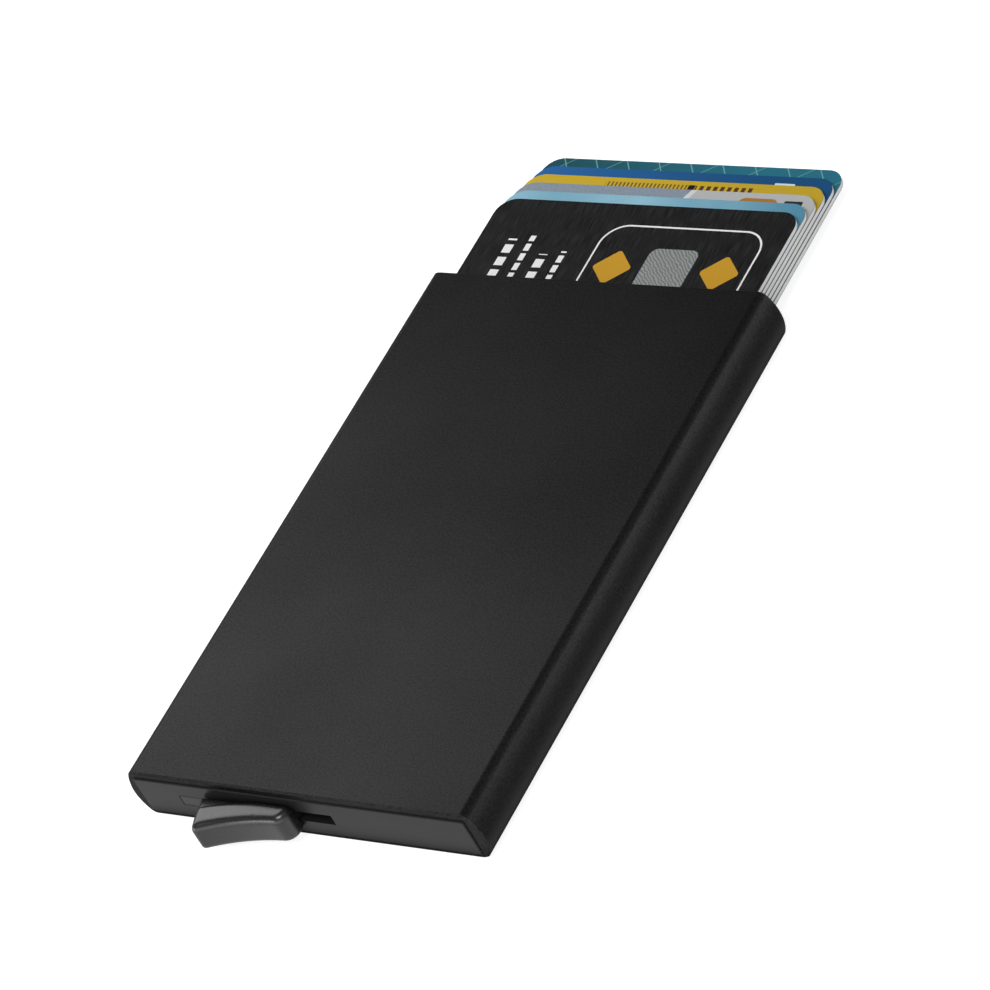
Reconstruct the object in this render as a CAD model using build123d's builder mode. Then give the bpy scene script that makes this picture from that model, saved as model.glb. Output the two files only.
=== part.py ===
from build123d import *
from math import acos, cos, pi, radians, sin, tan
import os

os.makedirs("parts", exist_ok=True)

# A pop-up card wallet, lying on its back face.  Millimetres.
# Origin: centre of the sleeve's back face.  X: across.  Y: along, towards the mouth.
# Z: up, out of the front face.
# Six bank cards stand in an extruded sleeve.  A thumb tab on the closed end slides sideways in
# a slot; its rack turns the toothed hub of a stepped arm, and each step lifts one card a little
# further than the card before it.

# ---------- driving dimensions ----------
# bank cards (standard size)
card_width = 53.98
card_length = 85.60
card_thickness = 0.76
card_corner_radius = 3.18
card_count = 6
card_gap = 0.07  # air between two neighbouring cards

# sleeve, an aluminium extrusion
face_wall = 1.0
side_bulge = 1.5  # how far each side bows out past its creases
crease_radius = 1.5
cavity_inset = 0.25  # from a crease in to the cavity's side
cavity_corner = 0.4
card_mouth_margin = 1.0  # from the top of a card pushed home to the mouth
end_chamfer = 0.3
mouth_chamfer = 0.25

# felt pads that hold the cards by friction
back_pad_thickness = 1.2
front_pad_thickness = 0.62
pad_gap = 0.18  # from a pad to the nearest card
pad_inset = 3.0  # from the edges of the cards in to a pad's edges
pad_corner = 2.0
pad_end_gap = 1.6  # from each end of a pad to the mouth and to the base

# guide rails along the cavity's sides
card_side_gap = 0.15
rail_width = 1.86
rail_mouth_recess = 0.8
rail_lead_in = 0.6
rail_base_gap = 0.1

# base moulding with the end plate
plate_depth = 1.5  # inside the sleeve
plate_proud = 0.25  # outside the sleeve
plate_seam = 0.06
plate_chamfer = 0.15
base_height = 11.5  # from the sleeve's end up to the posts that stop the cards
card_stop_gap = 0.2
side_wall = 0.8
rib_wall = 0.9
chamber_gap = 0.5  # free air round a moving piece inside the base

# stepped arm
pivot_inset = 10.5  # from the cavity's left side
pivot_height = 8.3  # above the sleeve's end
hub_radius = 3.0
pin_radius = 1.0
pin_clearance = 0.05
first_reach = 20.64  # pivot to the centre of the shortest step's tip
reach_step = 2.66
tip_radius = 1.5
push_gap = 0.3  # from a raised tip to the card it has raised
washer_thickness = 0.12
washer_clearance = 0.06
washer_rim = 0.4  # washer's edge short of the hub's edge
pin_end_cover = 0.3  # plastic left under the blind end of the pin's hole

# rack and toothed hub
tooth_module = 0.6
hub_teeth = 16  # in a full circle
pressure_angle = 25.0
backlash = 0.08
addendum = 1.0  # in modules
dedendum = 1.25  # in modules
sector_first_tooth = -4  # counted round the hub from the tooth that points at the rack
sector_last_tooth = 1
rack_first_tooth = -5  # counted along the rack from the space under the pivot
rack_last_tooth = 1

# slide carriage
slide_travel = 6.2
slide_gap = 0.1  # running clearance in the slot and under the guide rib
slot_height = 2.0
slot_end_gap = 0.15
web_lead = 3.15  # from the web's left end to the pivot
web_length = 20.45
flange_height = 4.1  # the carriage's bar, along Z
rack_end_margin = 0.5
block_rise = 1.75  # thick part of the bar, above the roots of the teeth
block_lead = 6.0  # from the pivot to the start of the thick part
rack_top_gap = 0.1

# thumb tab: a curved bar with rounded edges, on a thinner neck
tab_thickness = 5.0
tab_length = 16.35  # along the end plate
tab_overhang = 0.25  # past the web's right end
tab_lean = 1.8  # how far the left end leans in between the plate and the tip
tab_plate_gap = 0.15
tab_nose_depth = 3.0  # outer edge's distance from the end plate at the right
tab_tip_depth = 6.4  # the same at the left
tab_edge_curve = 36.0
tab_corner_radius = 2.0
tab_tip_radius = 0.6
tab_front_radius = 1.15
tab_back_radius = 0.7
neck_thickness = 3.1
neck_nose_depth = 0.25  # the bar's inner side from the end plate at the right
neck_tip_depth = 2.75  # the same at the left
neck_edge_radius = 0.8
tongue_length = 1.8
tongue_inset = 1.5

# torsion spring round the hub's boss
wire_diameter = 0.5
wire_side_count = 10  # the round wire's section is a regular polygon, which keeps the coil light
coil_radius = 2.25
coil_pitch = 0.52
coil_turns = 2
leg_length = 8.0
boss_radius = 1.6
recess_radius = 3.1
recess_layers = 2  # how many of the arm's layers the spring's recess cuts through
leg_room = 0.15

# cover screws
screw_radius = 0.8
screw_length = 4.2
screw_head_radius = 1.4
screw_head_height = 0.5
screw_boss_radius = 1.9
screw_drive_width = 0.4
screw_drive_depth = 0.3

# ---------- places worked out from them ----------
sleeve_length = base_height + card_stop_gap + card_length + card_mouth_margin
mouth_y = sleeve_length / 2
end_y = -sleeve_length / 2
half_cavity = card_width / 2 + card_side_gap + rail_width
cavity_width = 2 * half_cavity
face_width = cavity_width + 2 * cavity_inset
pad_width = card_width - 2 * pad_inset

card_pitch = card_thickness + card_gap
pack_height = card_count * card_thickness + (card_count - 1) * card_gap
pack_bottom_z = face_wall + back_pad_thickness + pad_gap
pack_top_z = pack_bottom_z + pack_height
cavity_top_z = pack_top_z + pad_gap + front_pad_thickness
cavity_height = cavity_top_z - face_wall
sleeve_thickness = cavity_top_z + face_wall
mid_z = sleeve_thickness / 2

plate_outer_y = end_y - plate_proud
plate_inner_y = end_y + plate_depth
base_top_y = end_y + base_height
floor_top_z = pack_bottom_z - washer_thickness - washer_clearance
cover_bottom_z = pack_top_z + pad_gap

pivot_x = -half_cavity + pivot_inset
pivot_y = end_y + pivot_height
pitch_radius = tooth_module * hub_teeth / 2
base_circle_radius = pitch_radius * cos(radians(pressure_angle))
tooth_tip_radius = pitch_radius + addendum * tooth_module
tooth_root_radius = pitch_radius - dedendum * tooth_module
tooth_pitch = pi * tooth_module
half_tooth = (tooth_pitch / 2 - backlash) / 2
arm_swing = slide_travel / pitch_radius  # radians
reach = [first_reach + number * reach_step for number in range(card_count)]
recess_floor_z = pack_top_z - recess_layers * card_pitch + card_gap / 2

rack_pitch_y = pivot_y - pitch_radius
rack_tip_y = rack_pitch_y + addendum * tooth_module
rack_root_y = rack_pitch_y - dedendum * tooth_module
bar_bottom_y = plate_inner_y + slide_gap
bar_bottom_z = mid_z - flange_height / 2
web_left = pivot_x - web_lead
web_right = web_left + web_length
tab_right = web_right + tab_overhang
tab_left = tab_right - tab_length
block_left = pivot_x + block_lead
bar_left = pivot_x + (rack_first_tooth + 0.5) * tooth_pitch - half_tooth - rack_end_margin
block_top_y = rack_root_y + block_rise
slot_left = web_left - slot_end_gap
slot_right = web_right + slide_travel + slot_end_gap

left_post_right = pivot_x - tooth_tip_radius - chamber_gap
left_post_bottom = rack_tip_y + chamber_gap
right_post_left = pivot_x + reach[-1] + tip_radius + chamber_gap
right_post_width = half_cavity - right_post_left
right_post_centre = ((right_post_left + half_cavity) / 2, (plate_inner_y + base_top_y) / 2)
screw_places = [
    ((left_post_right - half_cavity) / 2, (left_post_bottom + base_top_y) / 2),
    (right_post_centre[0], plate_inner_y + screw_boss_radius),
    (right_post_centre[0], base_top_y - screw_boss_radius),
]
screw_tops = [(x, y, cavity_top_z) for x, y in screw_places]
leg_y = pivot_y + coil_radius
spring_bottom_z = recess_floor_z + leg_room / 2 + wire_diameter / 2


def card_bottom_y(number):
    """Lower edge of a raised card, just clear of its step when the arm is fully up."""
    return pivot_y + reach[number] * sin(arm_swing) + tip_radius + push_gap


def card_back_z(number):
    """Back face of a card; card 0 is at the front of the pack."""
    return pack_top_z - number * card_pitch - card_thickness


def flank_angle(radius):
    """Half the angle that a hub tooth fills at a radius: an involute down to its base circle."""
    at_pitch = half_tooth / pitch_radius + tan(radians(pressure_angle)) - radians(pressure_angle)
    roll = acos(min(1.0, base_circle_radius / radius))
    return at_pitch - (tan(roll) - roll)


def flank_point(radius, side):
    """Point on one side of the hub tooth that lies along +X."""
    return (radius * cos(flank_angle(radius)), side * radius * sin(flank_angle(radius)))


# ---------- sleeve ----------
with BuildPart() as sleeve:
    with BuildSketch(Plane.XZ.offset(-mouth_y)) as sleeve_profile:
        with BuildLine():
            Line((-face_width / 2, 0), (face_width / 2, 0))
            ThreePointArc(
                (face_width / 2, 0),
                (face_width / 2 + side_bulge, mid_z),
                (face_width / 2, sleeve_thickness),
            )
            Line((face_width / 2, sleeve_thickness), (-face_width / 2, sleeve_thickness))
            ThreePointArc(
                (-face_width / 2, sleeve_thickness),
                (-face_width / 2 - side_bulge, mid_z),
                (-face_width / 2, 0),
            )
        make_face()
        fillet(sleeve_profile.vertices(), crease_radius)
        with Locations((0, mid_z)):
            RectangleRounded(cavity_width, cavity_height, cavity_corner, mode=Mode.SUBTRACT)
    extrude(amount=sleeve_length)
    chamfer(sleeve.faces().sort_by(Axis.Y)[0].outer_wire().edges(), end_chamfer)
    mouth_face = sleeve.faces().sort_by(Axis.Y)[-1]
    chamfer(mouth_face.outer_wire().edges(), end_chamfer)
    mouth_rim = sleeve.faces().sort_by(Axis.Y)[-1].inner_wires()[0]
    chamfer(mouth_rim.edges(), mouth_chamfer)
sleeve.part.label = "sleeve"
export_step(sleeve.part, "parts/sleeve.step")

# ---------- base: end plate, floor, posts, ribs ----------
with BuildPart() as base:
    with BuildSketch(Plane.XZ.offset(-plate_inner_y)):
        with Locations((0, mid_z)):
            RectangleRounded(
                cavity_width - 2 * plate_seam, cavity_height - 2 * plate_seam, cavity_corner
            )
    extrude(amount=plate_depth + plate_proud)
    chamfer(base.faces().sort_by(Axis.Y)[0].outer_wire().edges(), plate_chamfer)
    with BuildSketch(Plane.XY.offset(face_wall)):
        with Locations((0, (plate_inner_y + base_top_y) / 2)):
            Rectangle(cavity_width, base_top_y - plate_inner_y)
    extrude(amount=floor_top_z - face_wall)
    with BuildSketch(Plane.XY.offset(floor_top_z)):
        # posts at both ends carry the cover and stop the cards
        with Locations((-half_cavity, left_post_bottom)):
            Rectangle(
                left_post_right + half_cavity,
                base_top_y - left_post_bottom,
                align=(Align.MIN, Align.MIN),
            )
        with Locations((-half_cavity, plate_inner_y)):
            Rectangle(side_wall, left_post_bottom - plate_inner_y, align=(Align.MIN, Align.MIN))
        with Locations(right_post_centre):
            Rectangle(right_post_width, base_top_y - plate_inner_y)
            Rectangle(
                right_post_width - 2 * rib_wall,
                base_top_y - plate_inner_y - 2 * rib_wall,
                mode=Mode.SUBTRACT,
            )
            Rectangle(right_post_width, rib_wall)
        with Locations(*screw_places[1:]):
            Circle(screw_boss_radius)
        # guide rib over the thick part of the bar
        with Locations((block_left + slide_travel, block_top_y + slide_gap)):
            Rectangle(web_right + slide_travel - block_left, rib_wall, align=(Align.MIN, Align.MIN))
    extrude(amount=cover_bottom_z - floor_top_z)
    # slot for the slide carriage
    with BuildSketch(Plane.XZ.offset(-plate_inner_y)):
        with Locations(((slot_left + slot_right) / 2, mid_z)):
            Rectangle(slot_right - slot_left, slot_height)
    extrude(amount=plate_depth + plate_proud, mode=Mode.SUBTRACT)
    # blind hole for the pivot pin
    with BuildSketch(Plane.XY.offset(face_wall + pin_end_cover)):
        with Locations((pivot_x, pivot_y)):
            Circle(pin_radius)
    extrude(amount=floor_top_z - face_wall - pin_end_cover, mode=Mode.SUBTRACT)
    # screw holes
    with BuildSketch(Plane.XY.offset(cover_bottom_z)):
        with Locations(*screw_places):
            Circle(screw_radius)
    extrude(amount=-(screw_length - (cavity_top_z - cover_bottom_z)), mode=Mode.SUBTRACT)
    # notch that holds the spring's fixed leg
    with BuildSketch(Plane.XY.offset(cover_bottom_z)):
        with Locations((left_post_right, leg_y)):
            Rectangle(
                left_post_right - pivot_x + leg_length + leg_room,
                wire_diameter + leg_room,
                align=(Align.MAX, Align.CENTER),
            )
    extrude(amount=-(cover_bottom_z - recess_floor_z), mode=Mode.SUBTRACT)
    # the long edges follow the cavity's rounded corners
    with BuildSketch(Plane.XZ.offset(-base_top_y)):
        with Locations((0, mid_z)):
            RectangleRounded(cavity_width, cavity_height, cavity_corner)
    extrude(amount=base_height + plate_proud, mode=Mode.INTERSECT)
base.part.label = "base"
export_step(base.part, "parts/base.step")

# ---------- stepped arm ----------
with BuildSketch() as hub_tooth:
    with BuildLine():
        flank_radii = [
            base_circle_radius + (tooth_tip_radius - base_circle_radius) * step / 4
            for step in range(5)
        ]
        right_flank = Spline([flank_point(radius, -1) for radius in flank_radii])
        left_flank = Spline([flank_point(radius, 1) for radius in flank_radii])
        Line(right_flank @ 1, left_flank @ 1)
        Polyline(
            right_flank @ 0, flank_point(hub_radius, -1), flank_point(hub_radius, 1), left_flank @ 0
        )
    make_face()

tooth_angle = 360 / hub_teeth
sector_teeth = sector_last_tooth - sector_first_tooth + 1
sector_start = -90 + (sector_first_tooth - 0.5) * tooth_angle

with BuildPart() as step_arm:
    for number in range(card_count):
        layer_top_z = pack_top_z - number * card_pitch + (card_gap / 2 if number else 0)
        layer_bottom_z = pack_top_z - (number + 1) * card_pitch + card_gap / 2
        layer_bottom_z = max(layer_bottom_z, pack_bottom_z)
        with BuildSketch(Plane(origin=(pivot_x, pivot_y, layer_bottom_z))):
            Circle(hub_radius)
            with Locations((reach[number], 0)):
                Circle(tip_radius)
            make_hull()
        extrude(amount=layer_top_z - layer_bottom_z)
    # toothed part of the hub
    with BuildSketch(Plane(origin=(pivot_x, pivot_y, pack_bottom_z))):
        with BuildLine():
            sector_rim = CenterArc(
                (0, 0), tooth_root_radius, sector_start, sector_teeth * tooth_angle
            )
            Polyline(sector_rim @ 1, (0, 0), sector_rim @ 0)
        make_face()
        with PolarLocations(
            0, sector_teeth, sector_start + tooth_angle / 2, (sector_teeth - 1) * tooth_angle,
            endpoint=True,
        ):
            add(hub_tooth.sketch)
    extrude(amount=recess_floor_z - pack_bottom_z)
    # recess for the spring's coil, with a way out for its moving leg
    with BuildSketch(Plane(origin=(pivot_x, pivot_y, recess_floor_z))):
        Circle(recess_radius)
        with Locations((0, coil_radius - (wire_diameter + leg_room) / 2)):
            Rectangle(leg_length + leg_room, hub_radius, align=(Align.MIN, Align.MIN))
        Circle(boss_radius, mode=Mode.SUBTRACT)
    extrude(amount=pack_top_z - recess_floor_z, mode=Mode.SUBTRACT)
    # running bore
    with BuildSketch(Plane(origin=(pivot_x, pivot_y, pack_bottom_z))):
        Circle(pin_radius + pin_clearance)
    extrude(amount=pack_height, mode=Mode.SUBTRACT)
step_arm.part.label = "step_arm"
export_step(step_arm.part, "parts/step_arm.step")

# ---------- pivot pin and its washer ----------
with BuildPart() as pivot_pin:
    with BuildSketch(Plane(origin=(pivot_x, pivot_y, face_wall + pin_end_cover))):
        Circle(pin_radius)
    extrude(amount=cavity_top_z - face_wall - pin_end_cover)
    chamfer(pivot_pin.edges().group_by(Axis.Z)[0], pin_radius / 5)
pivot_pin.part.label = "pivot_pin"
export_step(pivot_pin.part, "parts/pivot_pin.step")

with BuildPart() as pivot_washer:
    with BuildSketch(Plane(origin=(pivot_x, pivot_y, floor_top_z))):
        Circle(hub_radius - washer_rim)
        Circle(pin_radius + pin_clearance, mode=Mode.SUBTRACT)
    extrude(amount=washer_thickness)
pivot_washer.part.label = "pivot_washer"
export_step(pivot_washer.part, "parts/pivot_washer.step")

# ---------- return spring: a coil between two straight legs ----------
spring_coil = Plane(origin=(pivot_x, pivot_y, spring_bottom_z), x_dir=(0, 1, 0)) * Helix(
    pitch=coil_pitch, height=coil_pitch * coil_turns, radius=coil_radius
)
with BuildPart() as return_spring:
    with BuildLine() as spring_path:
        add(spring_coil)
        moving_leg = Line(spring_coil @ 0 + Vector(leg_length, 0, 0), spring_coil @ 0)
        Line(spring_coil @ 1, spring_coil @ 1 - Vector(leg_length, 0, 0))
    with BuildSketch(Plane(origin=moving_leg @ 0, z_dir=moving_leg % 0)):
        RegularPolygon(wire_diameter / 2, wire_side_count)
    sweep(path=spring_path.wires()[0])
return_spring.part.label = "return_spring"
export_step(return_spring.part, "parts/return_spring.step")

# ---------- slide carriage: toothed bar, thick part under the guide rib, web, tongue ----------
with BuildPart() as slide_carriage:
    with BuildSketch(Plane.XY.offset(bar_bottom_z)):
        with Locations((bar_left, bar_bottom_y)):
            Rectangle(
                web_right - bar_left, rack_root_y - bar_bottom_y, align=(Align.MIN, Align.MIN)
            )
        with Locations((block_left, bar_bottom_y)):
            Rectangle(
                web_right - block_left, block_top_y - bar_bottom_y, align=(Align.MIN, Align.MIN)
            )
    extrude(amount=flange_height)
    with BuildSketch(Plane.XY.offset(bar_bottom_z)):
        rack_half_root = half_tooth + (rack_pitch_y - rack_root_y) * tan(radians(pressure_angle))
        rack_half_tip = half_tooth - (rack_tip_y - rack_pitch_y) * tan(radians(pressure_angle))
        for tooth in range(rack_first_tooth, rack_last_tooth + 1):
            tooth_x = pivot_x + (tooth + 0.5) * tooth_pitch
            with BuildLine():
                Polyline(
                    (tooth_x - rack_half_root, rack_root_y),
                    (tooth_x - rack_half_tip, rack_tip_y),
                    (tooth_x + rack_half_tip, rack_tip_y),
                    (tooth_x + rack_half_root, rack_root_y),
                    close=True,
                )
            make_face()
    extrude(amount=recess_floor_z - rack_top_gap - bar_bottom_z)
    with BuildSketch(Plane.XY.offset(mid_z - slot_height / 2 + slide_gap)):
        with Locations((web_left, plate_outer_y)):
            Rectangle(
                web_right - web_left, bar_bottom_y - plate_outer_y, align=(Align.MIN, Align.MIN)
            )
        with Locations((tab_left + tongue_inset, plate_outer_y - tongue_length)):
            Rectangle(
                web_right - tab_left - 2 * tongue_inset, tongue_length, align=(Align.MIN, Align.MIN)
            )
    extrude(amount=slot_height - 2 * slide_gap)
slide_carriage.part.label = "slide_carriage"
export_step(slide_carriage.part, "parts/slide_carriage.step")

# ---------- thumb tab ----------
tab_back_y = plate_outer_y - tab_plate_gap
tab_tip = (tab_left + tab_lean, plate_outer_y - tab_tip_depth)
tab_nose = (tab_right, plate_outer_y - tab_nose_depth)
neck_left, neck_right = tab_left - tab_overhang, tab_right + tab_overhang
with BuildPart() as thumb_tab:
    with BuildSketch(Plane.XY.offset(mid_z - tab_thickness / 2)) as tab_outline:
        with BuildLine():
            RadiusArc(tab_tip, tab_nose, tab_edge_curve)
            Polyline(tab_nose, (tab_right, tab_back_y), (tab_left, tab_back_y), tab_tip)
        make_face()
        fillet(tab_outline.vertices().sort_by_distance(tab_nose)[0], tab_corner_radius)
        fillet(tab_outline.vertices().sort_by_distance(tab_tip)[0], tab_tip_radius)
    extrude(amount=tab_thickness)
    rims = thumb_tab.edges().filter_by(GeomType.CIRCLE).group_by(Axis.Z)
    fillet(rims[-1], tab_front_radius)
    fillet(rims[0], tab_back_radius)
    # the neck is thinner than the bar on both faces
    for rise in (1, -1):
        with BuildSketch(Plane.XY.offset(mid_z + rise * neck_thickness / 2)):
            with BuildLine():
                neck_side = RadiusArc(
                    (neck_left, plate_outer_y - neck_tip_depth),
                    (neck_right, plate_outer_y - neck_nose_depth),
                    tab_edge_curve,
                )
                Polyline(neck_side @ 1, (neck_right, end_y), (neck_left, end_y), neck_side @ 0)
            make_face()
        extrude(amount=rise * tab_thickness, mode=Mode.SUBTRACT)
    bar_face = thumb_tab.faces().sort_by(Axis.Z)[-1]
    inner_edge = bar_face.edges().filter_by(GeomType.CIRCLE).sort_by(Axis.Y)[-1]
    fillet(inner_edge, neck_edge_radius)
    with BuildSketch(Plane.XY.offset(mid_z - slot_height / 2 + slide_gap)):
        with Locations((tab_left + tongue_inset, plate_outer_y - tongue_length)):
            Rectangle(
                web_right - tab_left - 2 * tongue_inset, tongue_length, align=(Align.MIN, Align.MIN)
            )
    extrude(amount=slot_height - 2 * slide_gap, mode=Mode.SUBTRACT)
thumb_tab.part.label = "thumb_tab"
export_step(thumb_tab.part, "parts/thumb_tab.step")

# ---------- cover over the mechanism, and its screws ----------
with BuildPart() as mechanism_cover:
    with BuildSketch(Plane.XY.offset(cover_bottom_z)):
        with Locations((0, (plate_inner_y + base_top_y) / 2)):
            Rectangle(cavity_width, base_top_y - plate_inner_y)
        with Locations((pivot_x, pivot_y)):
            Circle(pin_radius, mode=Mode.SUBTRACT)
    extrude(amount=cavity_top_z - cover_bottom_z)
    with Locations(*screw_tops):
        Cone(
            screw_radius, screw_head_radius, screw_head_height,
            align=(Align.CENTER, Align.CENTER, Align.MAX), mode=Mode.SUBTRACT,
        )
        Hole(screw_radius)
    with BuildSketch(Plane.XZ.offset(-base_top_y)):
        with Locations((0, mid_z)):
            RectangleRounded(cavity_width, cavity_height, cavity_corner)
    extrude(amount=base_height, mode=Mode.INTERSECT)
mechanism_cover.part.label = "mechanism_cover"
export_step(mechanism_cover.part, "parts/mechanism_cover.step")

with BuildPart() as cover_screws:
    with Locations(*screw_tops):
        Cone(
            screw_radius, screw_head_radius, screw_head_height,
            align=(Align.CENTER, Align.CENTER, Align.MAX),
        )
        Cylinder(screw_radius, screw_length, align=(Align.CENTER, Align.CENTER, Align.MAX))
        Box(
            screw_drive_width, 2 * screw_head_radius, screw_drive_depth,
            align=(Align.CENTER, Align.CENTER, Align.MAX), mode=Mode.SUBTRACT,
        )
cover_screws.part.label = "cover_screws"
export_step(cover_screws.part, "parts/cover_screws.step")

# ---------- felt pads ----------
pad_bottom_y = base_top_y + pad_end_gap
pad_top_y = mouth_y - pad_end_gap
with BuildPart() as back_pad:
    with BuildSketch(Plane.XY.offset(face_wall)):
        with Locations((0, (pad_bottom_y + pad_top_y) / 2)):
            RectangleRounded(pad_width, pad_top_y - pad_bottom_y, pad_corner)
    extrude(amount=back_pad_thickness)
back_pad.part.label = "back_pad"
export_step(back_pad.part, "parts/back_pad.step")

with BuildPart() as front_pad:
    with BuildSketch(Plane.XY.offset(cavity_top_z - front_pad_thickness)):
        with Locations((0, (pad_bottom_y + pad_top_y) / 2)):
            RectangleRounded(pad_width, pad_top_y - pad_bottom_y, pad_corner)
    extrude(amount=front_pad_thickness)
front_pad.part.label = "front_pad"
export_step(front_pad.part, "parts/front_pad.step")

# ---------- guide rails ----------
rail_bottom_y = base_top_y + rail_base_gap
rail_top_y = mouth_y - rail_mouth_recess
for name, side in (("left_rail", -1), ("right_rail", 1)):
    with BuildPart() as rail:
        with BuildSketch(Plane.XY.offset(face_wall)):
            with BuildLine():
                Polyline(
                    (side * half_cavity, rail_bottom_y),
                    (side * (half_cavity - rail_width), rail_bottom_y),
                    (side * (half_cavity - rail_width), rail_top_y - 2 * rail_lead_in),
                    (side * (half_cavity - rail_width + rail_lead_in), rail_top_y),
                    (side * half_cavity, rail_top_y),
                    close=True,
                )
            make_face()
        extrude(amount=cavity_height)
        with BuildSketch(Plane.XZ.offset(-mouth_y)):
            with Locations((0, mid_z)):
                RectangleRounded(cavity_width, cavity_height, cavity_corner)
        extrude(amount=sleeve_length, mode=Mode.INTERSECT)
    rail.part.label = name
    export_step(rail.part, f"parts/{name}.step")

# ---------- cards ----------
for number in range(card_count):
    with BuildPart() as card:
        with BuildSketch(Plane.XY.offset(card_back_z(number))):
            with Locations((0, card_bottom_y(number) + card_length / 2)):
                RectangleRounded(card_width, card_length, card_corner_radius)
        extrude(amount=card_thickness)
    card.part.label = f"card_{number + 1}"
    export_step(card.part, f"parts/card_{number + 1}.step")
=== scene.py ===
import math

import bpy
from mathutils import Matrix, Vector


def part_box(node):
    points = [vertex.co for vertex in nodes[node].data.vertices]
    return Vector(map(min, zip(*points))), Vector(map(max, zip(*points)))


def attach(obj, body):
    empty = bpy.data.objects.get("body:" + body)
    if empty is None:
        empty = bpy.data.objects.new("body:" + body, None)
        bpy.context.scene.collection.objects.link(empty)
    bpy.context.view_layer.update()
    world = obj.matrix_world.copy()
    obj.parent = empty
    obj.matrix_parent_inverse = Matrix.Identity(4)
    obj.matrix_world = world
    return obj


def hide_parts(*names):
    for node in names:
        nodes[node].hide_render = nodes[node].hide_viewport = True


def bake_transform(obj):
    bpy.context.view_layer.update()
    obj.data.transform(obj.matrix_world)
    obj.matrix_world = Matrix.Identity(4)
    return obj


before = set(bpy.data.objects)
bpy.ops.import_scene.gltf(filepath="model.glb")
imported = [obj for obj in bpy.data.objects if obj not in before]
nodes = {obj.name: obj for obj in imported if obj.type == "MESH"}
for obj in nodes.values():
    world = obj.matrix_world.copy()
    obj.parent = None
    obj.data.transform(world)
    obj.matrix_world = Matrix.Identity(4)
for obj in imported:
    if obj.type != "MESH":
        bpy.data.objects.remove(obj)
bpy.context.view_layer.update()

MM = 0.001
SMOOTH_ANGLE = math.radians(50)


# ---------- small tools ----------
def linear(hex_colour):
    """The linear colour of an sRGB hex value."""
    parts = [int(hex_colour[place : place + 2], 16) / 255 for place in (1, 3, 5)]
    return (*(p / 12.92 if p <= 0.04045 else ((p + 0.055) / 1.055) ** 2.4 for p in parts), 1.0)


def add(tree, kind, *values, out=0, named=None, stops=(), **settings):
    """Adds one node with its settings, a ramp's stops, and its inputs filled or linked, in order or by name.
    It returns one of the node's outputs, if the node has any."""
    made = tree.nodes.new("ShaderNode" + kind)
    for setting, value in settings.items():
        setattr(made, setting, value)
    for number, (position, tone) in enumerate(stops):
        stop = made.color_ramp.elements[number]
        stop.position, stop.color = position, linear(tone)
    for key, value in [*enumerate(values), *(named or {}).items()]:
        if isinstance(value, bpy.types.NodeSocket):
            tree.links.new(value, made.inputs[key])
        elif value is not None:
            made.inputs[key].default_value = value
    return made.outputs[out] if made.outputs else None


def new_material(name):
    """An empty material and its node tree."""
    material = bpy.data.materials.new(name)
    material.use_nodes = True
    material.node_tree.nodes.clear()
    return material, material.node_tree


def surface(tree, colour, rough, bump, **even):
    """The shader and the output of a material. Even values are set on the shader's own sockets."""
    named = {"Base Color": colour, "Roughness": rough, "Normal": bump}
    named.update({name.replace("_", " "): value for name, value in even.items()})
    add(tree, "OutputMaterial", add(tree, "BsdfPrincipled", named=named))


def millimetres(tree, centre=(0, 0, 0), scale=(1, 1, 1)):
    """Object coordinates in millimetres from a centre, stretched by scale."""
    place = add(tree, "TexCoord", out="Object")
    size = [s / MM for s in scale]
    shift = [-c * s for c, s in zip(centre, scale)]
    return add(tree, "Mapping", place, shift, (0, 0, 0), size)


def mixed(tree, fine, fine_share, coarse, coarse_share):
    """The shares of a fine pattern and of a coarse one, added up."""
    rest = add(tree, "Math", coarse, coarse_share, operation="MULTIPLY")
    return add(tree, "Math", fine, fine_share, rest, operation="MULTIPLY_ADD")


def highest(tree, values):
    """The highest of some values, so 1 where any of some masks is 1."""
    top = values[0]
    for value in values[1:]:
        top = add(tree, "Math", top, value, operation="MAXIMUM")
    return top


def finish_with(material, *names):
    """The named CAD pieces take this material."""
    for name in names:
        for material_slot in nodes[name].material_slots:
            material_slot.material = material


def dress(piece, material):
    """A piece of the scene takes this material alone."""
    piece.data.materials.clear()
    piece.data.materials.append(material)


# ---------- materials ----------
# Patterns are laid out in millimetres: a noise's Scale is how many of its grains stand in one. A noise runs
# from about 0.3 to 0.7, and MapRange turns that into the range of roughness that follows it.
def anodised_aluminium():
    """Extruded aluminium, blasted with fine glass beads and dyed black under a clear oxide skin.
    The beads leave a dense even sparkle, and the dye keeps the metal nearly black, in a shade that wanders
    over some 30 mm. The beads' dents, about 0.1 mm wide, are drawn three times as wide so that they show."""
    material, tree = new_material("black_anodised_blasted_aluminium")
    place = millimetres(tree)
    dents = add(tree, "TexNoise", place, named={"Scale": 3.2, "Detail": 2.0, "Roughness": 0.6})
    dye = add(tree, "TexNoise", place, named={"Scale": 0.03, "Detail": 3.0})
    tone = mixed(tree, dents, 0.7, dye, 0.3)
    colour = add(tree, "ValToRGB", tone, stops=((0.32, "#242424"), (0.68, "#3B3B3C")))
    rough = add(tree, "MapRange", dents, 0.3, 0.7, 0.39, 0.48)
    bump = add(tree, "Bump", named={"Strength": 0.4, "Distance": 0.012 * MM, "Height": dents})
    surface(tree, colour, rough, bump, Metallic=1.0, Specular_Tint=linear("#C8C8C8"))
    return material


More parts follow.
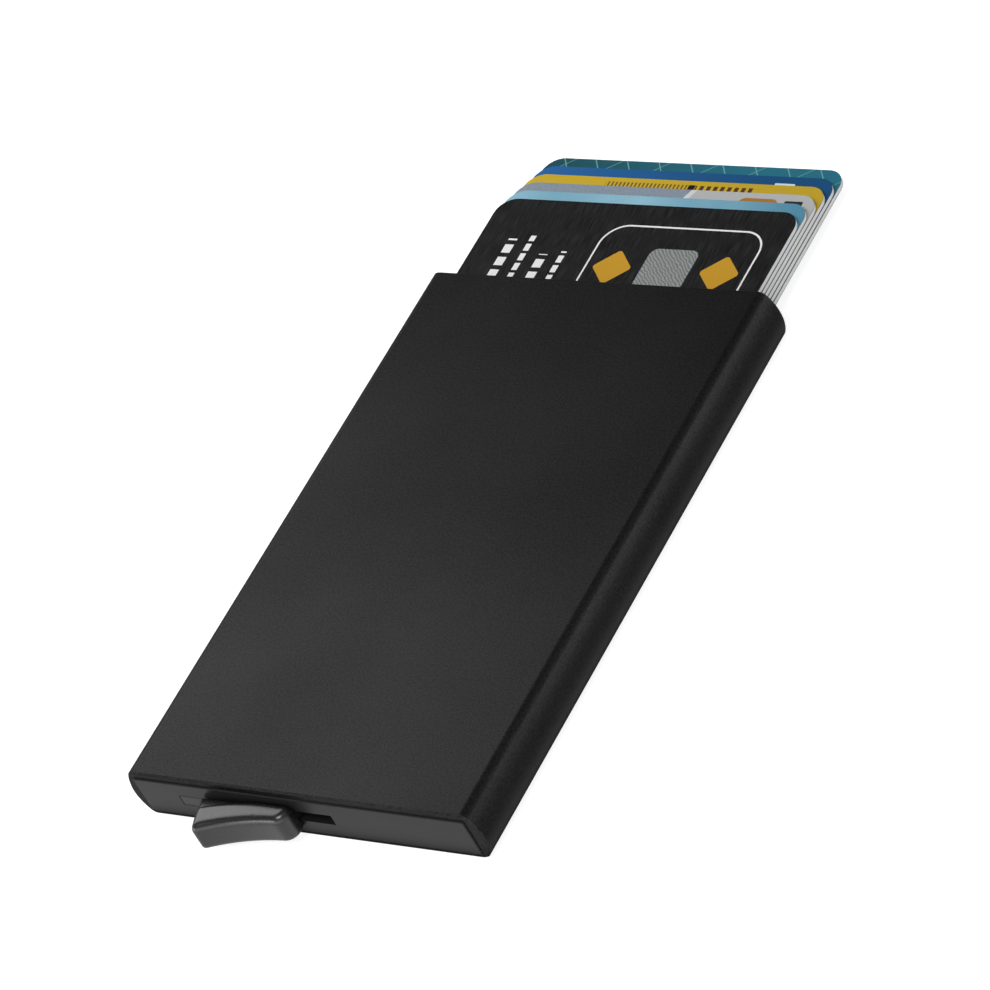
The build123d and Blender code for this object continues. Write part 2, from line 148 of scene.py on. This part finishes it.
def moulded_plastic(name, tones, grain, depth, rough, shine=0.5):
    """Injection-moulded plastic with the grain that a spark-eroded mould gives it: soft broken gloss.
    The grain's width and depth are in millimetres. Real grain is about 0.1 mm wide and is drawn coarser
    so that it shows. The melt's flow clouds the tone over some 8 mm."""
    material, tree = new_material(name)
    place = millimetres(tree)
    grains = add(tree, "TexNoise", place, named={"Scale": 1 / grain, "Detail": 3.0, "Roughness": 0.55})
    flow = add(tree, "TexNoise", place, named={"Scale": 0.12, "Detail": 2.0})
    tone = mixed(tree, grains, 0.5, flow, 0.5)
    colour = add(tree, "ValToRGB", tone, stops=zip((0.35, 0.65), tones))
    roughness = add(tree, "MapRange", grains, 0.3, 0.7, *rough)
    bump = add(tree, "Bump", named={"Strength": 0.3, "Distance": depth * MM, "Height": grains})
    surface(tree, colour, roughness, bump, IOR=1.5, Specular_IOR_Level=shine)
    return material


def steel(name, tones, lines_per_mm):
    """Plain steel with the fine lines that grinding or drawing leaves along it, which stretch its gloss.
    Real lines are about 0.02 mm wide and are drawn coarser so that they show."""
    material, tree = new_material(name)
    place = millimetres(tree, scale=lines_per_mm)
    lines = add(tree, "TexNoise", place, named={"Scale": 1.0, "Detail": 3.0})
    colour = add(tree, "ValToRGB", lines, stops=zip((0.35, 0.65), tones))
    rough = add(tree, "MapRange", lines, 0.3, 0.7, 0.22, 0.36)
    bump = add(tree, "Bump", named={"Strength": 0.25, "Distance": 0.004 * MM, "Height": lines})
    surface(tree, colour, rough, bump, Metallic=1.0)
    return material


def pressed_felt():
    """Wool felt pressed to a thin pad: matted fibres and a soft fuzzy sheen. The fibres, about 0.03 mm
    thick, are drawn as matted strands of 0.4 mm so that they show."""
    material, tree = new_material("black_pressed_felt")
    place = millimetres(tree)
    matting = {"Scale": 2.6, "Detail": 6.0, "Roughness": 0.7, "Distortion": 1.8}
    fibres = add(tree, "TexNoise", place, named=matting)
    tufts = add(tree, "TexNoise", place, named={"Scale": 0.45, "Detail": 2.0})
    tone = mixed(tree, fibres, 0.7, tufts, 0.3)
    colour = add(tree, "ValToRGB", tone, stops=((0.35, "#161617"), (0.7, "#3A3A3C")))
    bump = add(tree, "Bump", named={"Strength": 0.8, "Distance": 0.12 * MM, "Height": fibres})
    surface(tree, colour, 0.95, bump, Sheen_Weight=0.5, Sheen_Roughness=0.5)
    return material


aluminium = anodised_aluminium()
matt_plastic = moulded_plastic(
    "matt_black_moulded_abs", ("#1B1B1C", "#222223"), grain=0.22, depth=0.008, rough=(0.30, 0.38), shine=0.15
)
tab_plastic = moulded_plastic(
    "satin_black_moulded_abs", ("#18181A", "#1D1D1F"), grain=0.3, depth=0.001, rough=(0.27, 0.29), shine=0.66
)
acetal = moulded_plastic(
    "smooth_grey_moulded_acetal", ("#454548", "#505053"), grain=0.6, depth=0.004, rough=(0.3, 0.38)
)
dark_acetal = moulded_plastic(
    "smooth_dark_moulded_acetal", ("#1E1E1F", "#252526"), grain=0.6, depth=0.004, rough=(0.3, 0.38), shine=0.2
)
ground_steel = steel("ground_steel", ("#8E8E91", "#B9B9BC"), lines_per_mm=(6, 6, 0.6))
spring_wire = steel("drawn_spring_steel", ("#75757A", "#A2A2A8"), lines_per_mm=(0.8, 6, 6))

finish_with(aluminium, "sleeve")
finish_with(matt_plastic, "base", "mechanism_cover", "left_rail", "right_rail")
finish_with(acetal, "step_arm")
finish_with(dark_acetal, "slide_carriage", "pivot_washer")
finish_with(ground_steel, "cover_screws", "pivot_pin")


# ---------- thumb tab and spring ----------
WELD = 0.002 * MM  # points of a CAD mesh closer than this are one point
TAB_FACE = 0.1 * MM  # size of the tab's even faces
TAB_RIM = 2.0 * MM  # height of the tab's softer upper part
TAB_PASSES = 4  # smoothing passes over the whole tab
RIM_PASSES = 10  # and over its upper part


def copied_piece(name, node_name):
    """A copy of a CAD piece with its loose triangles joined, selected alone."""
    bpy.ops.object.select_all(action="DESELECT")
    piece = bpy.data.objects.new(name, nodes[node_name].data.copy())
    bpy.context.scene.collection.objects.link(piece)
    piece.select_set(True)
    bpy.context.view_layer.objects.active = piece
    bpy.ops.object.mode_set(mode="EDIT")
    bpy.ops.mesh.select_all(action="SELECT")
    bpy.ops.mesh.remove_doubles(threshold=WELD)
    bpy.ops.mesh.customdata_custom_splitnormals_clear()
    bpy.ops.object.mode_set(mode="OBJECT")
    return piece


def smooth_above(piece, height, passes):
    """Smooths the points of a piece that lie above a height."""
    bpy.ops.object.mode_set(mode="EDIT")
    bpy.ops.mesh.select_mode(type="VERT")
    bpy.ops.mesh.select_all(action="DESELECT")
    bpy.ops.object.mode_set(mode="OBJECT")
    for point in piece.data.vertices:
        point.select = point.co.z > height
    bpy.ops.object.mode_set(mode="EDIT")
    bpy.ops.mesh.vertices_smooth(factor=0.5, repeat=passes)
    bpy.ops.object.mode_set(mode="OBJECT")


def softened_tab():
    """The thumb tab in even small faces, its rims softened as a polished mould leaves them."""
    tab = copied_piece("thumb_tab_moulding", "thumb_tab")
    even = tab.modifiers.new("even_faces", "REMESH")
    even.mode, even.voxel_size = "VOXEL", TAB_FACE
    bpy.ops.object.modifier_apply(modifier="even_faces")
    smooth_above(tab, 0, TAB_PASSES)
    smooth_above(tab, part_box("thumb_tab")[1][2] - TAB_RIM, RIM_PASSES)
    bpy.ops.object.shade_smooth()
    return tab


tab = softened_tab()
dress(tab, tab_plastic)
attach(tab, "slider")
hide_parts("thumb_tab")

# In the real wallet the coil winds up: its upper leg stays in the base and its lower leg goes round with the
# arm. This copy is one rigid piece, attached to neither.
spring = copied_piece("torsion_spring", "return_spring")
bpy.ops.object.shade_smooth_by_angle(angle=SMOOTH_ANGLE)
dress(spring, spring_wire)
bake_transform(spring)
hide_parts("return_spring")


# ---------- felt pads ----------
def felt_pad(name, low, high):
    """A thin pad with soft edges, in the space that its plain solid holds."""
    bpy.ops.object.select_all(action="DESELECT")
    size = high - low
    edge = size.z * 0.3
    bpy.ops.mesh.primitive_cube_add(size=1, calc_uvs=False, location=(low + high) / 2, scale=size)
    pad = bpy.context.object
    pad.name = pad.data.name = name
    bpy.ops.object.transform_apply(location=True, rotation=True, scale=True)
    bpy.ops.object.mode_set(mode="EDIT")
    bpy.ops.mesh.select_all(action="SELECT")
    bpy.ops.mesh.bevel(offset=edge, segments=3, affect="EDGES")
    bpy.ops.mesh.select_all(action="SELECT")
    bpy.ops.mesh.normals_make_consistent(inside=False)
    bpy.ops.object.mode_set(mode="OBJECT")
    bpy.ops.object.shade_smooth_by_angle(angle=SMOOTH_ANGLE)
    return pad


felt = pressed_felt()
for pad_name in ("front_pad", "back_pad"):
    pad = felt_pad(pad_name + "_felt", *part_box(pad_name))
    dress(pad, felt)
    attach(pad, "case")
    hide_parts(pad_name)


# ---------- bank cards ----------
# Places and sizes in a print are millimetres from the card's centre, across it and along it.
# A print gives the colour of the card's front and the mask of its metal foil, if it has one.
SIDE = 27.0  # from the middle of a card to its side
CHIP = (-2.8, -26.6)  # middle of the contact pad


def patch(tree, place, centre, half_size, radius, line=None):
    """1 inside a rounded rectangle of the print, or within a line of that width along its edge, else 0."""
    inner = [size - radius for size in half_size]
    away = add(tree, "VectorMath", place, (*centre, 0), operation="SUBTRACT")
    away = add(tree, "VectorMath", away, operation="ABSOLUTE")
    away = add(tree, "VectorMath", away, (*inner, 0), operation="SUBTRACT")
    away = add(tree, "VectorMath", away, (0, 0, 0), operation="MAXIMUM")
    away = add(tree, "VectorMath", away, out="Value", operation="LENGTH")
    if line is None:
        return add(tree, "Math", away, radius, operation="LESS_THAN")
    return add(tree, "Math", away, radius, line / 2, operation="COMPARE")


def stripes(tree, value, half_pitch, half_width):
    """1 within half a width of each multiple of the pitch, else 0."""
    away = add(tree, "Math", value, half_pitch, operation="PINGPONG")
    return add(tree, "Math", away, half_width, operation="LESS_THAN")


def lay(tree, ground, *layers):
    """The ground colour with each layer's colour over it where the layer's mask is 1."""
    for mask, colour in layers:
        ground = add(tree, "Mix", mask, named={6: ground, 7: colour}, out=2, data_type="RGBA")
    return ground


def shaded(tree, across, *stops):
    """A ground that shades from one side of the card to the other."""
    side = add(tree, "MapRange", across, -SIDE, SIDE, 0.0, 1.0)
    return add(tree, "ValToRGB", side, stops=stops)


def contact_pad(tree, place, across):
    """The gilt contact pad of the chip and the grooves that part its contacts."""
    pad = patch(tree, place, CHIP, (5.9, 6.3), 1.6)
    rows = stripes(tree, add(tree, "Math", across, 0.9, operation="ADD"), 1.9, 0.14)
    middle = patch(tree, place, CHIP, (3.4, 2.4), 0.9, line=0.26)
    grooves = highest(tree, (rows, middle))
    return pad, lay(tree, linear("#C9A961"), (grooves, linear("#5F4C26")))


def dash_columns(tree, place, along):
    """Four columns of plain dashes, wide and narrow in turn."""
    half_length = 15.0
    layout = ((-20.6, 34.6, 0.8), (-17.2, 35.4, 0.5), (-13.6, 31.8, 0.8), (-10.2, 32.6, 0.5))
    columns = []
    for middle, top, half_width in layout:
        column = patch(tree, place, (middle, top - half_length), (half_width, half_length), 0.1)
        dashes = add(tree, "Math", along, half_width + 0.5, operation="PINGPONG")
        dashes = add(tree, "Math", dashes, half_width * 0.55, operation="GREATER_THAN")
        columns.append(add(tree, "Math", column, dashes, operation="MULTIPLY"))
    return highest(tree, columns)


def diamonds(tree, place):
    """Two diamonds side by side, each a square on its corner."""
    masks = []
    for middle in (-0.3, 18.7):
        turned = add(tree, "VectorMath", place, (middle, 30.0, 0), operation="SUBTRACT")
        turned = add(tree, "VectorRotate", turned, None, (0, 0, 1), math.radians(45))
        masks.append(patch(tree, turned, (0, 0), (2.5, 2.5), 0.6))
    return highest(tree, masks)


def black_print(tree, place, across, along):
    """Black ground with lines about 0.1 mm wide brushed along the card, dashes, and a silver foil patch
    between two mustard diamonds in a white outline. The foil's grating, about 0.001 mm fine, is drawn as
    bands 0.5 mm apart so that it shows."""
    streaks = add(tree, "Mapping", place, None, None, (8.0, 0.3, 1))
    brushing = add(tree, "TexNoise", streaks, named={"Scale": 1.0, "Detail": 3.0})
    ground = add(tree, "ValToRGB", brushing, stops=((0.42, "#040404"), (0.66, "#2E2E30")))
    outline = patch(tree, place, (9.2, 29.5), (14.2, 9.0), 4.0, line=0.32)
    foil = patch(tree, place, (9.2, 30.0), (4.3, 4.2), 1.4)
    waves = {"Scale": 0.9, "Distortion": 5.0, "Detail": 2.0}
    grating = add(tree, "TexWave", place, named=waves, bands_direction="DIAGONAL")
    silver = add(tree, "ValToRGB", grating, stops=((0.2, "#B2B9B8"), (0.8, "#E4E8E6")))
    white_marks = highest(tree, (dash_columns(tree, place, along), outline))
    mustard = (diamonds(tree, place), linear("#CC9A2B"))
    return lay(tree, ground, (white_marks, linear("#F2F2F0")), (foil, silver), mustard), foil


def sky_print(tree, place, across, along):
    """Sky blue that deepens to one side, with a paler band that wanders along the card."""
    wander = add(tree, "Mapping", place, None, None, (0.05, 0.012, 1))
    drift = add(tree, "TexNoise", wander, named={"Scale": 1.0, "Detail": 2.0})
    side = add(tree, "MapRange", across, -10.0, SIDE, 0.0, 0.45)
    tone = add(tree, "Math", drift, side, operation="ADD")
    return add(tree, "ValToRGB", tone, stops=((0.45, "#97C7DA"), (1.0, "#4F8DA9"))), None


def silver_print(tree, place, across, along):
    """Silver grey in two tones with a pale slanting seam, an orange bar and a dark one. The ink's flakes,
    about 0.05 mm wide, are drawn 0.3 mm wide so that they show."""
    seam_place = -14.5
    slant = add(tree, "Math", along, -0.45, across, operation="MULTIPLY_ADD")
    right = add(tree, "Math", slant, seam_place, operation="GREATER_THAN")
    seam = add(tree, "Math", slant, seam_place, 0.5, operation="COMPARE")
    orange = patch(tree, place, (16.8, 40.2), (3.6, 1.5), 1.4)
    dark = patch(tree, place, (23.0, 41.0), (1.6, 0.45), 0.2)
    grain = add(tree, "TexNoise", place, named={"Scale": 3.0, "Detail": 2.0})
    left = add(tree, "ValToRGB", grain, stops=((0.3, "#83909D"), (0.7, "#95A2B0")))
    halves = lay(tree, left, (right, linear("#BCBEBE")), (seam, linear("#DADCDC")))
    return lay(tree, halves, (orange, linear("#B07A35")), (dark, linear("#2B3034"))), None


def golden_print(tree, place, across, along):
    """Golden yellow with a band of fine brown dots and a row of dark bars near the top."""
    top = 41.4
    left_band = patch(tree, place, (-5.0, top), (7.5, 0.55), 0.1)
    dots = add(tree, "Math", stripes(tree, across, 0.35, 0.16), left_band, operation="MULTIPLY")
    right_band = patch(tree, place, (9.0, top), (5.2, 0.5), 0.1)
    bars = add(tree, "Math", stripes(tree, across, 0.62, 0.36), right_band, operation="MULTIPLY")
    block = patch(tree, place, (3.1, top), (0.6, 0.55), 0.1)
    ground = shaded(tree, across, (0.3, "#D0B02C"), (1.0, "#C7A82C"))
    ground = lay(tree, ground, (dots, linear("#7A5A2A")), (bars, linear("#5A3A22")))
    return lay(tree, ground, (block, linear("#1D1712"))), None


def blue_print(tree, place, across, along):
    """Strong blue with a white sail near one corner."""
    ground = shaded(tree, across, (0.0, "#2768A8"), (0.8, "#16507F"))
    lean = add(tree, "Math", along, 0.8, across, operation="MULTIPLY_ADD")
    sail = add(tree, "Math", lean, 53.0, operation="LESS_THAN")
    cloth = patch(tree, place, (19.5, 37.0), (3.0, 4.4), 0.1)
    sail = add(tree, "Math", sail, cloth, operation="MULTIPLY")
    return lay(tree, ground, (sail, linear("#DFE6EC"))), None


def teal_print(tree, place, across, along):
    """Dark teal that lightens to one side, with fine pale lines that lean both ways."""
    ground = shaded(tree, across, (0.0, "#1C4F58"), (0.7, "#287389"))
    lines = []
    for lean, half_pitch in ((0.7, 2.9), (-1.3, 4.3)):
        line = add(tree, "Math", along, lean, across, operation="MULTIPLY_ADD")
        lines.append(stripes(tree, line, half_pitch, 0.11))
    return lay(tree, ground, (highest(tree, lines), linear("#6FA9A6"))), None


def back_print(tree, flat, across, tone):
    """An even ground with a dark magnetic stripe and a pale panel to sign on, hatched every 0.3 mm."""
    stripe = add(tree, "Math", across, -16.3, 5.2, operation="COMPARE")
    panel = patch(tree, flat, (-3.5, 10.0), (4.6, 28.0), 0.3)
    hatch = add(tree, "TexWave", flat, named={"Scale": 1.6}, bands_direction="DIAGONAL")
    signing = add(tree, "ValToRGB", hatch, stops=((0.4, "#D9DBD6"), (0.6, "#E9EAE6")))
    return lay(tree, linear(tone), (stripe, linear("#1B1716")), (panel, signing))


def printed_card(name, front_print, back_tone):
    """Gloss-laminated PVC: a white core between printed sheets, which shows at the edge, a chip and a stripe.
    The print is sharp and even, and the laminate gives it a soft gloss with a faint peel, about 1 mm wide."""
    core_half = 0.3
    foil_metal = 0.8  # the varnish over foil and contacts dulls them
    dull, gloss = 0.5, 0.28  # roughness of the edge and the back, and of the front
    low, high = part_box(name)
    centre = (Vector(low) + Vector(high)) / 2 / MM
    material, tree = new_material(name + "_printed_pvc_laminate")
    place = millimetres(tree, centre)
    flat = millimetres(tree, centre, (1, 1, 0))
    across, along, height = add(tree, "SeparateXYZ", place).node.outputs
    front, foil = front_print(tree, flat, across, along)
    pad, gilt = contact_pad(tree, flat, across)
    front = lay(tree, front, (pad, gilt))
    metal = pad if foil is None else highest(tree, (pad, foil))
    back = back_print(tree, flat, across, back_tone)
    depth = add(tree, "Math", height, operation="ABSOLUTE")
    sheet = add(tree, "Math", depth, core_half, operation="GREATER_THAN")
    edge = lay(tree, linear("#F2F3F3"), (sheet, linear("#54575A")))

    # Each face of the card takes its own look by the way it faces, and only the front has metal.
    facing = add(tree, "SeparateXYZ", add(tree, "TexCoord", out="Normal"), out="Z")
    is_back = add(tree, "Math", facing, -0.5, operation="LESS_THAN")
    is_front = add(tree, "Math", facing, 0.5, operation="GREATER_THAN")
    is_edge = add(tree, "Math", add(tree, "Math", facing, operation="ABSOLUTE"), 0.5, operation="LESS_THAN")
    colour = lay(tree, front, (is_back, back), (is_edge, edge))
    metal = add(tree, "Math", metal, is_front, operation="MULTIPLY")
    metal = add(tree, "Math", metal, foil_metal, operation="MULTIPLY")
    peel = add(tree, "TexNoise", place, named={"Scale": 0.8, "Detail": 2.0})
    bump = add(tree, "Bump", named={"Strength": 0.2, "Distance": 0.01 * MM, "Height": peel})
    rough = add(tree, "MapRange", facing, 0.4, 0.6, dull, gloss)
    surface(tree, colour, rough, bump, Metallic=metal, IOR=1.5, Specular_IOR_Level=0.3)
    finish_with(material, name)


printed_card("card_1", black_print, "#2A2A2C")
printed_card("card_2", sky_print, "#B9D4E3")
printed_card("card_3", silver_print, "#C5C9CC")
printed_card("card_4", golden_print, "#D9C58A")
printed_card("card_5", blue_print, "#9DB6D6")
printed_card("card_6", teal_print, "#8FB3B5")


# ---------- floor ----------
def white_floor_with_painted_reflections():
    """Matt white paint. Seen directly it is plain white. In glossy rays it glows as a painted reflection:
    bright ahead of the closed end and along each side, with painted shade just at the end plate's front, and
    dim elsewhere.
    Places are in millimetres. A range is its start, its end, and the brightness at each."""
    plate_front = -50.4  # along the sleeve, just ahead of the end plate
    sleeve_side = 30.2  # across, just inside the sleeve's side
    dim = 0.05
    lift = 0.85  # what the lit paint lacks to plain white
    material, tree = new_material("matt_white_floor_with_painted_reflections")
    spot = millimetres(tree)
    across, along = add(tree, "SeparateXYZ", spot).node.outputs[:2]

    # Painted reflection: glossy and transmission rays see the floor glow ahead of the end plate, with painted
    # shade right at its front and a brighter painted band farther ahead.
    ahead = add(tree, "MapRange", along, -60.0, -51.0, 0.45, 1.0)
    painted_shade_near_plate = add(tree, "MapRange", along, -51.1, plate_front, 1.0, dim)
    ahead = add(tree, "Math", ahead, painted_shade_near_plate, operation="MULTIPLY")
    far_painted_reflection = add(tree, "MapRange", along, -74.0, -63.0, 1.5, 0.0)

    # Painted reflection along each side of the sleeve, seen only in glossy rays.
    sideways = add(tree, "Math", across, operation="ABSOLUTE")
    painted_reflection_beside = add(tree, "MapRange", sideways, 30.5, 36.0, 0.7, dim)
    for value, lowest in ((sideways, sleeve_side), (along, plate_front)):
        past = add(tree, "Math", value, lowest, operation="GREATER_THAN")
        painted_reflection_beside = add(tree, "Math", painted_reflection_beside, past, operation="MULTIPLY")

    rays = add(tree, "LightPath").node.outputs
    mirrored = highest(tree, (rays["Is Glossy Ray"], rays["Is Transmission Ray"]))
    # The painted reflection's glow, which only glossy and transmission rays see.
    brightness = highest(tree, (ahead, far_painted_reflection, painted_reflection_beside))
    mirrored = add(tree, "Math", mirrored, brightness, operation="MULTIPLY")
    shown = add(tree, "Math", rays["Is Camera Ray"], lift, mirrored, operation="MULTIPLY_ADD")
    glow = add(tree, "Emission", linear("#FFFFFF"), shown)
    paint = add(tree, "BsdfDiffuse", linear("#B4B4B4"))
    add(tree, "OutputMaterial", add(tree, "AddShader", paint, glow))
    return material


bpy.ops.object.select_all(action="DESELECT")
bpy.ops.mesh.primitive_plane_add(size=6, location=(0, 0, -0.1 * MM))
floor = bpy.context.object
floor.name = "studio_floor"
floor.data.materials.append(white_floor_with_painted_reflections())


# ---------- light ----------
def towards(tree, direction, goal, cosines, brightness):
    """A brightness that goes from its first value to its last while the cosine of the angle between a
    direction and the goal does."""
    cosine = add(tree, "VectorMath", direction, goal, out="Value", operation="DOT_PRODUCT")
    return add(tree, "MapRange", cosine, *cosines, *brightness)


def studio_world():
    """A dim room with a bright horizon ahead on the left, a faint glow on the right and one behind.
    Seen directly it is plain white."""
    world = bpy.data.worlds.new("studio")
    world.use_nodes = True
    tree = world.node_tree
    tree.nodes.clear()
    room, plain_white = 0.14, 1.0
    direction = add(tree, "TexCoord", out="Generated")
    height = add(tree, "SeparateXYZ", direction, out="Z")
    horizon = towards(tree, direction, (-0.6, -0.8, 0), cosines=(-0.4, 0.6), brightness=(0.15, 1.7))
    near_horizon = add(tree, "MapRange", height, 0.16, 0.36, 1.0, 0.0)
    sky = add(tree, "Mix", near_horizon, None, room, horizon)
    right_glow = towards(tree, direction, (0.66, -0.48, 0.58), cosines=(0.5, 0.95), brightness=(0.0, 0.35))
    sky = add(tree, "Math", sky, right_glow, operation="ADD")
    rear_glow = towards(tree, direction, (0.32, 0.88, 0.34), cosines=(0.85, 1.0), brightness=(0.0, 0.6))
    sky = add(tree, "Math", sky, rear_glow, operation="ADD")
    seen_directly = add(tree, "LightPath", out="Is Camera Ray")
    strength = add(tree, "Mix", seen_directly, None, sky, plain_white)
    add(tree, "OutputWorld", add(tree, "Background", linear("#FFFFFF"), strength))
    return world


def soft_light(name, place, aim, size, watts):
    """A softbox at place that shines at aim."""
    light = bpy.data.lights.new(name, "AREA")
    light.shape, light.energy = "RECTANGLE", watts
    light.size, light.size_y = size
    lamp = bpy.data.objects.new(name, light)
    bpy.context.scene.collection.objects.link(lamp)
    lamp.location = place
    lamp.rotation_mode = "QUATERNION"
    lamp.rotation_quaternion = (Vector(aim) - Vector(place)).to_track_quat("-Z", "Y")


bpy.context.scene.world = studio_world()
soft_light("left_softbox", (-0.257, 0.068, 0.22), aim=(-0.01, 0, 0), size=(0.22, 0.22), watts=0.44)
soft_light("right_softbox", (0.325, 0.196, 0.05), aim=(0, 0, 0), size=(0.3, 0.05), watts=0.2)
soft_light("front_strip", (-0.256, -0.39, 0.075), aim=(-0.01, -0.05, 0), size=(0.3, 0.12), watts=0.42)
soft_light("front_fill", (0.15, -0.45, 0.8), aim=(0, 0, 0), size=(0.4, 0.4), watts=3.8)


# ---------- camera ----------
azimuth, elevation, roll = math.radians(48.72), math.radians(39.05), math.radians(-30.53)
distance = 0.7968
target = Vector((0.31 * MM, 10.64 * MM, 4.62 * MM))
turn = Matrix.Rotation(azimuth, 4, "Z")
turn = turn @ Matrix.Rotation(math.pi / 2 - elevation, 4, "X")
turn = turn @ Matrix.Rotation(roll, 4, "Z")
camera = bpy.data.objects.new("camera", bpy.data.cameras.new("camera"))
bpy.context.scene.collection.objects.link(camera)
camera.matrix_world = Matrix.Translation(target) @ turn @ Matrix.Translation((0, 0, distance))
camera.data.lens, camera.data.sensor_width = 201.6, 36
camera.data.clip_start, camera.data.clip_end = 0.01, 20
bpy.context.scene.camera = camera
bpy.context.scene.view_settings.view_transform = "Standard"
